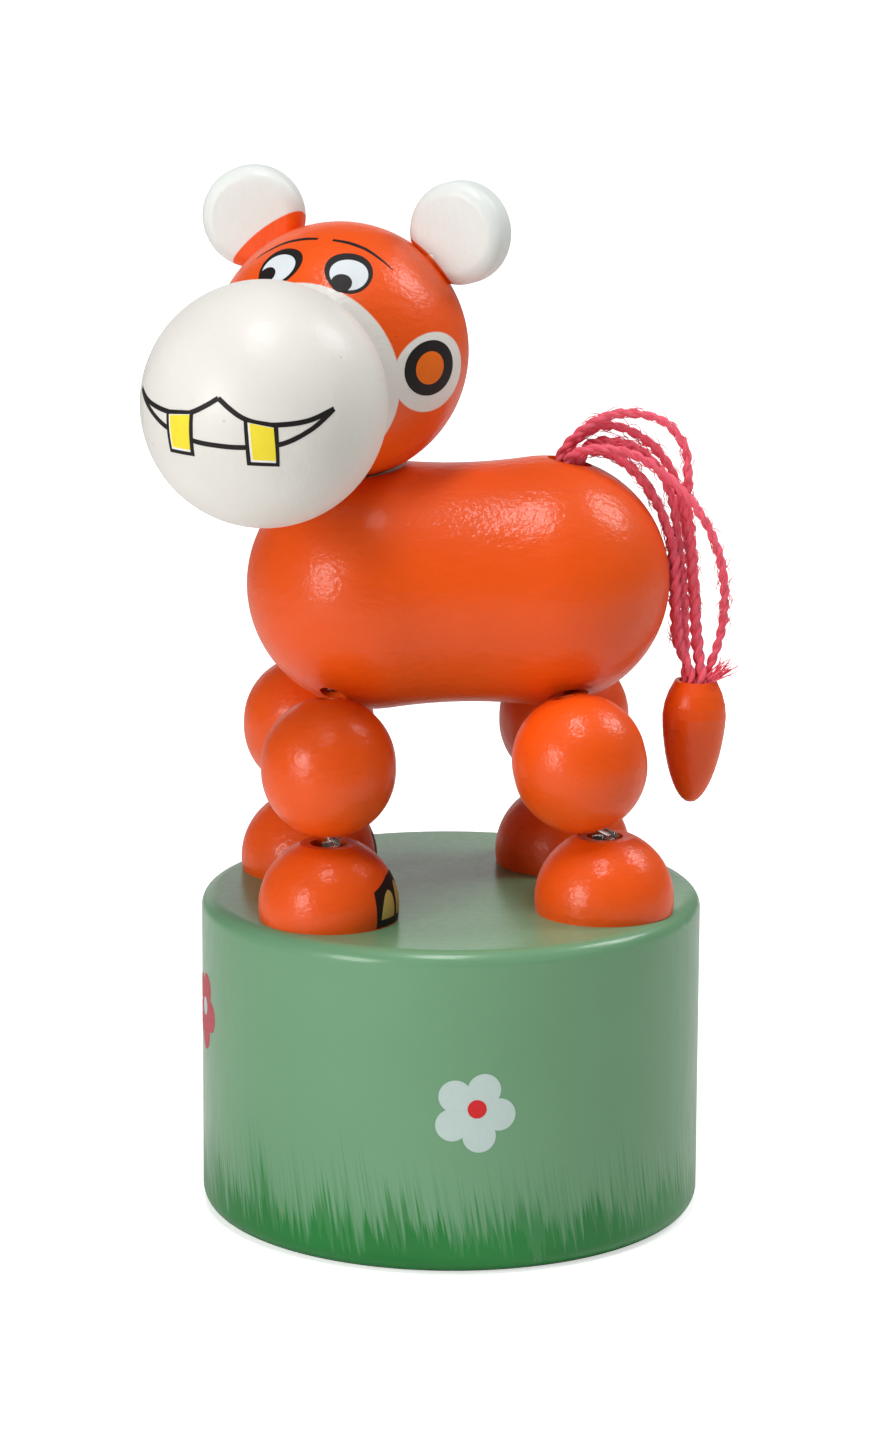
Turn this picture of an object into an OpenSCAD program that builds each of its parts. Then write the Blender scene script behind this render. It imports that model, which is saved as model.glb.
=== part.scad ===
// Push puppet: a jointed wooden animal strung on cords over a drum base with a push button.
// Millimetres, +Z up. Origin: centre of the drum's underside. The animal looks along -X when its
// head is straight, and its left side is towards -Y.

/* [Drum base] */
// Diameter of the drum
base_d = 50; // [46:0.5:60]
// Height of the drum
base_h = 32.4; // [31:0.2:40]
// Diameter of the bore under the drum
base_bore_d = 40; // [39:0.5:43]
// Thickness of the drum's top above the bore
base_top_t = 7; // [5:0.5:8]
// Rounding of the drum's top edge
base_top_round = 1.5; // [0.5:0.25:2.5]
// Rounding of the drum's bottom edge
base_foot_round = 2; // [0.5:0.25:2.5]

/* [Push button] */
// Thickness of the push button
button_h = 5; // [4.5:0.25:6]
// Depth of the button's underside inside the bore
button_recess = 4.5; // [4.2:0.1:5]
// Gap between the button and the bore, all round
button_gap = 0.3; // [0.2:0.05:0.6]
// Height of the spigot that centres the spring
spigot_h = 2.5; // [1.5:0.25:4]
// Diameter of the knot under each cord
knot_d = 2.8; // [2.2:0.1:3]
// Room round each knot in its pocket
knot_room = 0.3; // [0.2:0.05:0.5]
// Wood left between a knot's pocket and the button's top
knot_web = 1.7; // [1.5:0.1:1.8]

/* [Return spring] */
// Diameter of the spring at the middle of its wire
spring_d = 22; // [18:0.5:25]
// Diameter of the spring's wire
spring_wire = 1.1; // [0.8:0.05:1.4]
// Number of coils
spring_coils = 5; // [4:1:6]
// Gap between the spring and its spigot, all round
spigot_gap = 0.4; // [0.2:0.05:0.8]

/* [Cords] */
// Diameter of the clear line
cord_d = 1.2; // [0.8:0.1:1.4]
// Gap round a cord in the holes of the drum and the button
cord_gap = 0.4; // [0.3:0.05:0.6]
// Gap between two pieces of cord that lie end to end
cord_end_gap = 0.15; // [0.1:0.05:0.3]
// How far a thigh cord's lower end lies inside its bead
cord_inset = 0.8; // [0.6:0.1:1.2]
// Gap between a thigh cord and the inner wall of its bead's hole
cord_wall_gap = 0.3; // [0.2:0.05:0.5]

/* [Feet] */
// Distance between the front and the rear feet
leg_span_x = 26.7; // [26:0.1:27.4]
// Distance between the left and the right feet
leg_span_y = 19.9; // [18.6:0.1:20.4]
// Diameter of the ball that a foot is cut from
foot_d = 13.8; // [13.4:0.1:14.4]
// Height of that ball's centre above the drum
foot_ball_z = 1.2; // [0.8:0.1:1.6]
// Height of a foot
foot_h = 7.5; // [7.2:0.1:7.6]
// Diameter of the hole through a foot
foot_bore_d = 3.6; // [2.8:0.1:4]

/* [Thigh beads] */
// Widest diameter of a bead
bead_w = 13.2; // [13.1:0.1:13.4]
// Height of a bead between its drilled flats
bead_h = 13.4; // [13.2:0.1:13.5]
// Height of the straight band between a bead's round ends
bead_band = 0.6; // [0.5:0.1:1]
// Diameter of the hole through a bead
bead_bore_d = 2.2; // [2:0.1:2.6]
// How far each bead's top leans in under the torso, in degrees
bead_cant = 8; // [4:1:9]
// Gap between a swinging bead and the foot's ball
foot_gap = 0.3; // [0.25:0.05:0.5]
// How far the rear left bead has slid forward on its foot
lean_shift = 2.6; // [2.4:0.1:2.8]
// How far that bead hangs below the others
lean_drop = 0.2; // [0:0.1:0.3]
// How far that bead leans, in degrees
lean_tilt = 13; // [10:1:14]

/* [Torso] */
// Length of the torso
torso_l = 42; // [40:0.5:46]
// Diameter of the torso's bulging ends
torso_d = 24.8; // [24:0.1:26]
// Diameter of the torso's waist
torso_waist_d = 23.7; // [22.8:0.1:23.8]
// Place of the torso's middle along the drum
torso_x = 0.6; // [0:0.1:1]
// Height of the torso's axis above the centres of the thigh beads
torso_rise = 16.2; // [16:0.1:17]
// Gap between a bead and its hollow in the torso
seat_gap = 0.25; // [0.2:0.05:0.5]
// Diameter of the cord bores from the hips to the middle
hip_bore_d = 2.6; // [2.4:0.1:3]
// Diameter of the neck bore in the torso and the head
neck_bore_d = 4; // [3.8:0.1:4.6]

/* [Head] */
// Diameter of the head ball
head_d = 25.2; // [24:0.1:26.4]
// Place of the head along the torso
head_x = -11.2; // [-12:0.1:-10]
// Height of the head ball's centre above the torso's axis
head_rise = 23.25; // [22.95:0.1:24.15]
// Gap between the head ball and its hollow in the torso
neck_gap = 0.3; // [0.2:0.05:0.5]
// How far the face is turned to the animal's left, in degrees
face_yaw = 64; // [-90:1:90]
// How far the head leans to the animal's left, in degrees
head_roll = 1.8; // [0:0.2:4]
// Diameter of the muzzle ball
muzzle_d = 23.4; // [22:0.1:24.6]
// Distance of the muzzle ball in front of the head ball
muzzle_reach = 20.5; // [19:0.1:21.5]
// How far the muzzle ball hangs below the head ball
muzzle_drop = 2.2; // [0:0.1:3]
// Diameter of the dowel between head and muzzle
muzzle_dowel_d = 5; // [4:0.25:6]
// Length of that dowel
muzzle_dowel_l = 13; // [10:0.5:15]
// Diameter of the peg that wedges the neck cords
neck_peg_d = 1.4; // [1:0.1:1.5]
// Length of that peg
neck_peg_l = 8; // [5:0.5:9]

/* [Ears] */
// Diameter of an ear
ear_d = 10.1; // [9.4:0.1:10.8]
// Thickness of an ear
ear_t = 4; // [3.4:0.1:4.6]
// Rounding of an ear's edge
ear_round = 1.4; // [0.8:0.1:1.6]
// Distance of an ear's centre from the middle of the head
ear_side = 10.75; // [10:0.05:11]
// Height of an ear's centre above the head ball's centre
ear_up = 12; // [11.6:0.1:12.6]
// How far an ear sits behind the middle of the head
ear_back = 3.7; // [3.2:0.1:4.6]
// How far an ear is turned outwards, in degrees
ear_toe = 8; // [0:1:15]
// Diameter of an ear's dowel
ear_dowel_d = 2; // [1.6:0.1:2.2]
// Length of an ear's dowel
ear_dowel_l = 7; // [6:0.5:8]
// Glue gap between glued pieces
glue_gap = 0.05; // [0.02:0.01:0.1]

/* [Tail] */
// Place of the tail hole along the torso
tail_hole_x = 11.6; // [11.4:0.1:11.8]
// Diameter of the tail hole
tail_hole_d = 4.4; // [4.2:0.1:4.8]
// Depth of the tail hole below the torso's top
tail_hole_depth = 6.5; // [6:0.5:8]
// Diameter of one strand of yarn
strand_d = 0.9; // [0.7:0.05:0.95]
// Height of the tail bead
tail_bead_h = 12.5; // [11:0.1:14]
// Widest diameter of the tail bead
tail_bead_d = 6.4; // [6:0.1:7]
// Diameter of the flat on the tail bead's top
tail_bead_flat_d = 4.2; // [4:0.1:4.4]
// Diameter of the hole in the tail bead
tail_bead_bore_d = 3.4; // [3.3:0.1:3.6]
// Depth of that hole
tail_bead_bore_depth = 4; // [3.6:0.2:6]

/* [Hidden] */
$fn = 96;
slack = 1;
LEGS = ["front_left", "rear_left", "front_right", "rear_right"];

// Paint and materials as the eye sees them
orange_paint = "#E2511B";
white_paint = "#E9E6E0";
green_paint = "#7CA881";
bare_wood = "#D9B988";
steel_wire = "#A9ADB0";
clear_line = "#DAD8D2";
pink_yarn = "#DB4A68";

// Drum, button and spring, from the underside up
base_r = base_d / 2;
ceiling_z = base_h - base_top_t;
button_d = base_bore_d - 2 * button_gap;
button_top_z = button_recess + button_h;
spring_sides = 6;
rings_per_coil = 8;
coil_inner_d = spring_d * cos(180 / rings_per_coil) - spring_wire;
spigot_d = coil_inner_d - 2 * spigot_gap;
cord_hole_d = cord_d + 2 * cord_gap;
knot_pocket_d = knot_d + 2 * knot_room;
knot_z = button_top_z - knot_web - knot_room - knot_d / 2;

// Legs: -1 and 1 for front and rear, and for left and right
leg_end = [-1, 1, -1, 1];
leg_side = [-1, -1, 1, 1];
leg_lean = [0, 1, 0, 0];
leg_slip = [0, 0.65, 0, -0.6];
foot_top_z = base_h + foot_h;
foot_ball_at_z = base_h + foot_ball_z;
bead_r = bead_w / 2;
bead_flat_r = sqrt(bead_r * bead_r - (bead_h - bead_band) * (bead_h - bead_band) / 4);
bead_reach = norm([bead_h / 2, bead_flat_r]);
bead_z = foot_ball_at_z + foot_d / 2 + foot_gap + bead_h / 2;
seat_r = bead_reach + seat_gap;
function cord_at(i) = [leg_end[i] * leg_span_x / 2, leg_side[i] * leg_span_y / 2, 0];
function foot_at(i) = cord_at(i) + [leg_slip[i], 0, base_h];
function seat_at(i) = [foot_at(i).x - leg_lean[i] * lean_shift, foot_at(i).y, bead_z];
function bead_at(i) = seat_at(i) - [0, 0, leg_lean[i] * lean_drop];

// Torso: two ball ends joined by a hollow arc that is tangent to both
torso_z = bead_z + torso_rise;
torso_r = torso_d / 2;
torso_c = torso_l / 2 - torso_r;
waist_r = torso_waist_d / 2;
waist_arc_r = (torso_c * torso_c + waist_r * waist_r - torso_r * torso_r) / (2 * (torso_r - waist_r));
waist_y = torso_c * waist_arc_r / (waist_arc_r + torso_r);
waist_x = (waist_r + waist_arc_r) * torso_r / (waist_arc_r + torso_r);
neck_meet = [head_x, 0, torso_z];
rump_meet = [tail_hole_x, 0, torso_z];
tail_hole_z = torso_z + torso_r - tail_hole_depth;
turn_room = 0.4;

// Head, muzzle and ears, in the frame of the face, where the face looks along -X
head_r = head_d / 2;
head_at = [head_x, 0, torso_z + head_rise];
head_seat_r = head_r + neck_gap;
muzzle_r = muzzle_d / 2;
muzzle_tilt = atan2(muzzle_drop, muzzle_reach);
muzzle_far = norm([muzzle_reach, muzzle_drop]);
join_x = (muzzle_far * muzzle_far + head_r * head_r - muzzle_r * muzzle_r) / (2 * muzzle_far);
neck_cord_y = cord_d / 2 + cord_end_gap;
neck_peg_x = neck_bore_d / 2 - neck_peg_d / 2 - glue_gap;
function ear_at(side) = [ear_back, side * ear_side, ear_up];

// Tail yarn: six strands out of the hole, over the rump and into the bead
tail_bead_x = 24.6;
tail_bead_top_z = 53.2;
tail_bead_lean = 2;
tail_bead_belly = 0.3;
tail_bead_taper = 0.12;
tail_bead_crowd = 1.6;
tail_bead_steps = 16;
strand_sides = 8;
strand_routes = [
  [[10.3, 0, 71.5], [10.5, 0, 75.8], [12.2, 0, 78.2], [15, 0, 80], [18, -0.1, 80.3],
   [21, -0.2, 79.4], [23, -0.3, 77], [23.4, -0.4, 74], [23.4, -0.6, 71], [23.8, -0.6, 67.5],
   [24.2, -0.6, 63.5], [24.5, -0.6, 59.5], [24.8, -0.8, 56], [25.1, -0.95, 53], [25.1, -0.95, 50]],
  [[10.9, 1.1, 71.5], [11.2, 1.15, 75.6], [13, 1.1, 78], [15.5, 0.9, 79], [18, 0.8, 78.3],
   [20.2, 0.7, 76.7], [22, 0.6, 74.2], [22.9, 0.6, 71], [23.6, 0.6, 67.5], [24, 0.6, 64],
   [24.3, 0.6, 60.5], [24.6, 0.7, 57], [25.1, 0.95, 53.4], [25.1, 0.95, 50]],
  [[12.2, 1.1, 71.5], [12.4, 1.1, 75.4], [14, 1.25, 77.2], [16.3, 0.5, 77.4], [18.6, 0.1, 76.6],
   [20.5, 0, 74.7], [21.8, 0, 72.1], [22.4, 0, 68.8], [22.9, 0, 65.5], [23.2, 0, 62],
   [23.4, 0, 58.5], [23.5, 0, 55.5], [23.5, 0, 53], [23.5, 0, 50]],
  [[10.9, -1.1, 71.5], [11.2, -1.3, 75.9], [13.2, -2, 77.1], [16.4, -2, 76.9], [19.3, -1.9, 75.6],
   [22, -1.8, 73.4], [24.2, -1.8, 70.8], [25.8, -1.5, 68], [26.8, -1.2, 65], [27.2, -0.8, 62],
   [27.1, -0.5, 59], [26.5, -0.2, 56.2], [25.6, 0, 53.4], [25.6, 0, 50]],
  [[12.3, -1.1, 71.5], [12.5, -0.9, 75.9], [14.2, -0.8, 77], [16.2, -0.6, 76], [18.3, -0.7, 74.2],
   [20, -0.7, 71.9], [21.3, -0.8, 69.1], [22.1, -0.8, 66], [22.3, -0.8, 63], [22.5, -0.8, 60],
   [22.8, -0.95, 57], [23.6, -1.05, 55], [24, -0.95, 53.4], [24, -0.95, 50]],
  [[12.9, 0.1, 71.5], [12.8, 0.05, 75.8], [14.4, 0.25, 76.5], [16.7, 0.7, 75.7], [18.7, 0.9, 73.9],
   [20.4, 0.9, 71.4], [21.7, 0.9, 68.2], [22.2, 0.9, 65], [22.3, 0.8, 62], [22.5, 0.8, 59],
   [22.8, 0.95, 56.8], [23.6, 1.05, 55], [24, 0.95, 53.4], [24, 0.95, 50]]
];

// A round tube along points: one ring of corners at each point, square to the run there
function unit(v) = v / norm(v);
function run_at(path, i) = unit(path[min(i + 1, len(path) - 1)] - path[max(i - 1, 0)]);
function ring_at(path, i, r, sides, side_dir) =
  let (t = run_at(path, i), a = unit(cross(t, side_dir)), b = cross(t, a))
  [for (k = [0 : sides - 1]) path[i] + r * (a * cos(360 * k / sides) + b * sin(360 * k / sides))];
function tube_points(path, r, sides, side_dirs) =
  [for (i = [0 : len(path) - 1]) each ring_at(path, i, r, sides, side_dirs[i])];
function tube_faces(rings, sides) = [
  for (i = [0 : rings - 2], k = [0 : sides - 1])
    let (a = i * sides + k, b = i * sides + (k + 1) % sides)
    each [[a, b, a + sides], [b, b + sides, a + sides]],
  for (k = [1 : sides - 2]) [0, k + 1, k],
  for (k = [1 : sides - 2]) let (e = (rings - 1) * sides) [e, e + k, e + k + 1]
];
module tube(path, d, sides, side_dirs) {
  polyhedron(tube_points(path, d / 2, sides, side_dirs), tube_faces(len(path), sides), convexity = 10);
}

// The spring's helix: a straight end, the coils, a straight end
spring_steps = spring_coils * rings_per_coil;
spring_low_z = button_top_z + spring_wire / 2;
spring_high_z = ceiling_z - spring_wire / 2;
spring_pitch = (spring_high_z - spring_low_z) / spring_coils;
function coil_point(i) = let (a = 360 * i / rings_per_coil)
  [spring_d / 2 * cos(a), spring_d / 2 * sin(a),
   spring_low_z + (spring_high_z - spring_low_z) * i / spring_steps];
function coil_run(i) = let (a = 360 * i / rings_per_coil) [-sin(a), cos(a), 0];
coil_path = concat(
  [coil_point(0) - spring_wire * coil_run(0)],
  [for (i = [0 : spring_steps]) coil_point(i)],
  [coil_point(spring_steps) + spring_wire * coil_run(spring_steps)]);
coil_least_gap = min([for (i = [0 : spring_steps - rings_per_coil], k = [-1 : 1])
  norm(coil_point(i) - coil_point(min(i + rings_per_coil + k, spring_steps)))]) - spring_wire;
echo(spring_least_gap = coil_least_gap);

// A round bar from one point to another
module bar(from, to, d) {
  v = to - from;
  translate(from) rotate([0, acos(v.z / norm(v)), atan2(v.y, v.x)]) cylinder(d = d, h = norm(v));
}

module rounded_disc_section(r, h, round_low, round_high) {
  translate([0, round_low]) square([r, h - round_low - round_high]);
  square([r - round_low, h / 2]);
  translate([0, h / 2]) square([r - round_high, h / 2]);
  intersection() {
    union() {
      translate([r - round_low, round_low]) circle(r = round_low);
      translate([r - round_high, h - round_high]) circle(r = round_high);
    }
    square([r, h]);
  }
}

// Drum base with its bore and four cord holes
module drum_base() {
  color(green_paint)
  difference() {
    rotate_extrude() rounded_disc_section(base_r, base_h, base_foot_round, base_top_round);
    translate([0, 0, -slack]) cylinder(d = base_bore_d, h = ceiling_z + slack);
    for (i = [0 : 3])
      translate(cord_at(i)) cylinder(d = cord_hole_d, h = base_h + slack);
  }
}

// Push button: a disc with a spring spigot, cord holes and a pocket for each knot
module push_button() {
  color(bare_wood)
  difference() {
    union() {
      translate([0, 0, button_recess]) cylinder(d = button_d, h = button_h);
      translate([0, 0, button_recess]) cylinder(d = spigot_d, h = button_h + spigot_h);
    }
    for (i = [0 : 3])
      translate(cord_at(i)) {
        cylinder(d = cord_hole_d, h = button_top_z + slack);
        cylinder(d = knot_pocket_d, h = button_top_z - knot_web);
      }
  }
}

module return_spring() {
  ups = [for (p = coil_path) [0, 0, 1]];
  color(steel_wire) tube(coil_path, spring_wire, spring_sides, ups);
}

module cord_knots() {
  color(clear_line)
  for (i = [0 : 3])
    translate(cord_at(i) + [0, 0, knot_z]) sphere(d = knot_d);
}

// The cords from their knots up through the button, the drum and the feet
module base_cords() {
  low_z = knot_z + knot_d / 2;
  color(clear_line)
  for (i = [0 : 3])
    translate(cord_at(i) + [0, 0, low_z]) cylinder(d = cord_d, h = foot_top_z - low_z);
}

// A foot: a ball cut flat below and above, drilled for its cord
module foot(i) {
  color(orange_paint)
  translate(foot_at(i))
  difference() {
    intersection() {
      translate([0, 0, foot_ball_z]) sphere(d = foot_d);
      cylinder(d = foot_d + slack, h = foot_h);
    }
    translate([0, 0, -slack]) cylinder(d = foot_bore_d, h = foot_h + 2 * slack);
  }
}

module place_thigh(i) {
  translate(bead_at(i)) rotate([leg_side[i] * bead_cant, -leg_lean[i] * lean_tilt, 0]) children();
}

module bead_section() {
  intersection() {
    union() {
      for (s = [-1, 1]) translate([0, s * bead_band / 2]) circle(r = bead_r);
      translate([0, -bead_band / 2]) square([bead_r, bead_band]);
    }
    translate([0, -bead_h / 2]) square([bead_w, bead_h]);
  }
}

// A thigh bead: a ball-ended bead with drilled flats
module thigh(i) {
  color(orange_paint)
  place_thigh(i)
  difference() {
    rotate_extrude() bead_section();
    translate([0, 0, -bead_h / 2 - slack]) cylinder(d = bead_bore_d, h = bead_h + 2 * slack);
  }
}

// A cord that is drawn towards the animal's middle, along the wall of the bead's hole
module thigh_cord(i) {
  pulled = bead_bore_d / 2 - cord_d / 2 - cord_wall_gap;
  color(clear_line)
  place_thigh(i)
  translate([0, -leg_side[i] * pulled, cord_inset - bead_h / 2])
  cylinder(d = cord_d, h = bead_h - cord_inset);
}

module torso_section() {
  intersection() {
    union() {
      for (s = [-1, 1]) translate([0, s * torso_c]) circle(r = torso_r);
      difference() {
        translate([0, -waist_y]) square([waist_x, 2 * waist_y]);
        translate([waist_r + waist_arc_r, 0]) circle(r = waist_arc_r);
      }
    }
    translate([0, -torso_l]) square([torso_d, 2 * torso_l]);
  }
}

// Torso with hollows for the beads and the head, hip and neck bores and the tail hole
module torso() {
  color(orange_paint)
  difference() {
    translate([torso_x, 0, torso_z]) rotate([0, 90, 0]) rotate_extrude() torso_section();
    for (i = [0 : 3]) {
      translate(seat_at(i)) sphere(r = seat_r);
      bar(seat_at(i), hip_meet(i), hip_bore_d);
    }
    translate(rump_meet) sphere(d = hip_bore_d + 2 * turn_room);
    translate(neck_meet) sphere(d = neck_bore_d + 2 * turn_room);
    bar(neck_meet, head_at, neck_bore_d);
    translate(head_at) sphere(r = head_seat_r);
    translate([tail_hole_x, 0, tail_hole_z]) cylinder(d = tail_hole_d, h = torso_r);
  }
}

// Hip bores run from the hollow over each bead to the middle of the torso
function hip_meet(i) = leg_end[i] < 0 ? neck_meet : rump_meet;
function hip_mouth(i) = seat_at(i) + seat_r * unit(hip_meet(i) - seat_at(i));

// Front cords: from each front hip to the neck bore and up to the head
module front_cords() {
  color(clear_line)
  for (i = [0, 2]) {
    turn = neck_meet + [0, leg_side[i] * neck_cord_y, 0];
    top = [turn.x, turn.y, head_at.z - sqrt(head_seat_r * head_seat_r - neck_cord_y * neck_cord_y)];
    bar(hip_mouth(i), turn, cord_d);
    translate(turn) sphere(d = cord_d + 2 * glue_gap);
    bar(turn, top, cord_d);
  }
}

// Rear cord: from one rear hip over the middle to the other
module rear_cord() {
  color(clear_line) {
    for (i = [1, 3]) bar(hip_mouth(i), rump_meet, cord_d);
    translate(rump_meet) sphere(d = cord_d + 2 * glue_gap);
  }
}

// Neck cords: both front cords inside the head
module neck_cords() {
  reach = norm([head_r, neck_cord_y]) - neck_gap;
  color(clear_line)
  for (s = [-1, 1])
    translate(head_at + [0, s * neck_cord_y, -reach]) cylinder(d = cord_d, h = reach);
}

module neck_peg() {
  color(bare_wood)
  translate(head_at + [neck_peg_x, 0, -neck_peg_l - neck_bore_d / 2])
  cylinder(d = neck_peg_d, h = neck_peg_l);
}

module face_frame() {
  translate(head_at) rotate([head_roll, 0, face_yaw]) children();
}

module muzzle_frame() {
  face_frame() rotate([0, -muzzle_tilt, 0]) children();
}

// The dowel's hole or the dowel itself, half in the head and half in the muzzle
module muzzle_dowel_shape(gap) {
  translate([-join_x - muzzle_dowel_l / 2 - gap, 0, 0]) rotate([0, 90, 0])
  cylinder(d = muzzle_dowel_d + 2 * gap, h = muzzle_dowel_l + 2 * gap);
}

module ear_dowel_shape(side, gap) {
  out = unit(ear_at(side));
  half = ear_dowel_l / 2 + gap;
  bar(out * (head_r - half), out * (head_r + half), ear_dowel_d + 2 * gap);
}

// Head ball with a flat for the muzzle, the neck bore and dowel holes
module head_ball() {
  color(orange_paint)
  difference() {
    translate(head_at) sphere(d = head_d);
    muzzle_frame() {
      translate([-join_x - head_d, -head_d / 2, -head_d / 2]) cube(head_d);
      muzzle_dowel_shape(glue_gap);
    }
    for (s = [-1, 1]) face_frame() ear_dowel_shape(s, glue_gap);
    translate(head_at - [0, 0, head_d]) cylinder(d = neck_bore_d, h = head_d + neck_bore_d / 2);
  }
}

// Muzzle ball with a flat against the head
module muzzle_ball() {
  color(white_paint)
  muzzle_frame()
  difference() {
    translate([-muzzle_far, 0, 0]) sphere(d = muzzle_d);
    translate([-join_x, -muzzle_d / 2, -muzzle_d / 2]) cube(muzzle_d);
    muzzle_dowel_shape(glue_gap);
  }
}

module muzzle_dowel() {
  color(bare_wood) muzzle_frame() muzzle_dowel_shape(0);
}

// An ear: a disc with rounded edges, hollowed to sit on the head ball
module ear(side) {
  color(white_paint)
  face_frame()
  difference() {
    translate(ear_at(side)) rotate([0, 0, side * ear_toe]) rotate([0, -90, 0])
    translate([0, 0, -ear_t / 2])
    rotate_extrude() rounded_disc_section(ear_d / 2, ear_t, ear_round, ear_round);
    sphere(r = head_r + glue_gap);
    ear_dowel_shape(side, glue_gap);
  }
}

module ear_dowel(side) {
  color(bare_wood) face_frame() ear_dowel_shape(side, 0);
}

module tail_strand(i) {
  sideways = [for (p = strand_routes[i]) [0, 1, 0]];
  color(pink_yarn) tube(strand_routes[i], strand_d, strand_sides, sideways);
}

// Tail bead: full near the top and tapering to a round tip, drilled for the yarn
function tail_bead_radius(t) = t < tail_bead_belly
  ? let (u = 1 - t / tail_bead_belly, flat = tail_bead_flat_d / tail_bead_d)
    tail_bead_d / 2 * (1 - (1 - flat) * u * u)
  : let (u = (t - tail_bead_belly) / (1 - tail_bead_belly))
    tail_bead_d / 2 * sqrt(1 - u * u) * (1 - tail_bead_taper * u);
module tail_bead() {
  side = [for (k = [0 : tail_bead_steps]) let (t = 1 - pow(1 - k / tail_bead_steps, tail_bead_crowd))
    [tail_bead_radius(t), -t * tail_bead_h]];
  color(orange_paint)
  translate([tail_bead_x, 0, tail_bead_top_z]) rotate([0, tail_bead_lean, 0])
  difference() {
    rotate_extrude() polygon(concat([[0, 0]], side));
    translate([0, 0, -tail_bead_bore_depth])
    cylinder(d = tail_bead_bore_d, h = tail_bead_bore_depth + slack);
  }
}

drum_base();
push_button();
return_spring();
cord_knots();
base_cords();
for (i = [0 : 3]) {
  foot(i);
  thigh(i);
  thigh_cord(i);
}
torso();
front_cords();
rear_cord();
neck_cords();
neck_peg();
head_ball();
muzzle_ball();
muzzle_dowel();
ear(-1);  // ear_left
ear(1);  // ear_right
ear_dowel(-1);  // ear_dowel_left
ear_dowel(1);  // ear_dowel_right
for (i = [0 : 5])
  tail_strand(i);
tail_bead();
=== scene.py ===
# Push puppet: the looks of a cord-strung wooden animal on a green drum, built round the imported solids.
import random
from functools import partial
from math import asin, atan2, cos, degrees, pi, radians, sin, sqrt

import bmesh
import bpy
from mathutils import Matrix, Vector


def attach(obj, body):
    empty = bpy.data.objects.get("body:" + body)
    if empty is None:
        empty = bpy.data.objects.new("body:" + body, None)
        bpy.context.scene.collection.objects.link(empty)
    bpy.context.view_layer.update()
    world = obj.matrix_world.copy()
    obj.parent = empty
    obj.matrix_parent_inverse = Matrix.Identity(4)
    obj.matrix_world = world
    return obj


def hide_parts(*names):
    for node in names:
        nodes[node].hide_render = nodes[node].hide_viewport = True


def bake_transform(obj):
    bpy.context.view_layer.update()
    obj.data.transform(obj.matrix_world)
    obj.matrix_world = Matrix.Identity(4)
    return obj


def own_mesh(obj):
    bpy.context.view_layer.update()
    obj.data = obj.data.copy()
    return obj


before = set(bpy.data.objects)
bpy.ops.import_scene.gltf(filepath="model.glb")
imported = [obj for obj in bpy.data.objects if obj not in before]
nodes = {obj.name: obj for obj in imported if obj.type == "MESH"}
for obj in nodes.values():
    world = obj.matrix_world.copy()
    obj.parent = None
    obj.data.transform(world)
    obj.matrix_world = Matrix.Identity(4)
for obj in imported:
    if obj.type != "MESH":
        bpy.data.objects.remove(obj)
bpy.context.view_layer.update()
mm = 0.001
legs = ("front_left", "rear_left", "front_right", "rear_right")
print("frame loaded:", len(nodes), "solids")

# Camera: at the photograph's angle, a long lens from about half a metre

cameraSet = {
    "at": (-60.4, -482.3, 159.1),      # mm
    "aim": (-1.17, 0.14, 48.87),       # mm
    "lens": 123.63, "sensor": 36,      # mm, the focal length and the sensor's height
    "roll": 0.258,                     # degrees
    "clipStart": 10,                   # mm
}
camera = bpy.data.objects.new("camera", bpy.data.cameras.new("camera"))
bpy.context.collection.objects.link(camera)
camera.data.sensor_fit = "VERTICAL"
camera.data.sensor_height = cameraSet["sensor"]
camera.data.lens = cameraSet["lens"]
camera.data.clip_start = cameraSet["clipStart"] * mm
camera.location = Vector(cameraSet["at"]) * mm
lookAlong = (Vector(cameraSet["aim"]) - Vector(cameraSet["at"])).to_track_quat("-Z", "Y")
roll = Matrix.Rotation(radians(cameraSet["roll"]), 3, "Z")
camera.rotation_euler = (lookAlong.to_matrix() @ roll).to_euler()
bpy.context.scene.camera = camera
print("camera placed")


# Small tools

def linear(hexColour):  # sRGB hex to the linear values a shader works in
    parts = [int(hexColour[i:i + 2], 16) / 255 for i in (1, 3, 5)]
    return tuple(c / 12.92 if c <= 0.04045 else ((c + 0.055) / 1.055) ** 2.4 for c in parts) + (1,)


def perSize(sizeMm):  # texture scale at which one feature is about this many millimetres
    return 1 / (sizeMm * mm)


def plug(tree, node, sockets):  # links into a node that is already there
    for key, socket in sockets.items():
        tree.links.new(socket, node.inputs[key])


def addNode(tree, kind, settings=None, links=None, take=0):
    # one shader node with its settings and links; gives the output to take
    node = tree.nodes.new("ShaderNode" + kind)
    for key, value in (settings or {}).items():
        if isinstance(key, int) or key in node.inputs:
            node.inputs[key].default_value = value
        else:
            setattr(node, key, value)
    plug(tree, node, links or {})
    return node.outputs[take]


def newMaterial(name, shaderSettings):
    material = bpy.data.materials.new(name)
    material.use_nodes = True
    tree = material.node_tree
    shader = tree.nodes["Principled BSDF"]
    for key, value in shaderSettings.items():
        shader.inputs[key].default_value = value
    return material, tree, shader


def newMesh(name, verts, faces, material):
    mesh = bpy.data.meshes.new(name)
    mesh.from_pydata(verts, [], faces)
    mesh.validate()
    piece = bpy.data.objects.new(name, mesh)
    bpy.context.collection.objects.link(piece)
    mesh.materials.append(material)
    for face in mesh.polygons:
        face.use_smooth = True
    bm = bmesh.new()
    bm.from_mesh(mesh)
    bmesh.ops.recalc_face_normals(bm, faces=bm.faces[:])
    bm.to_mesh(mesh)
    bm.free()
    return piece


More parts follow.
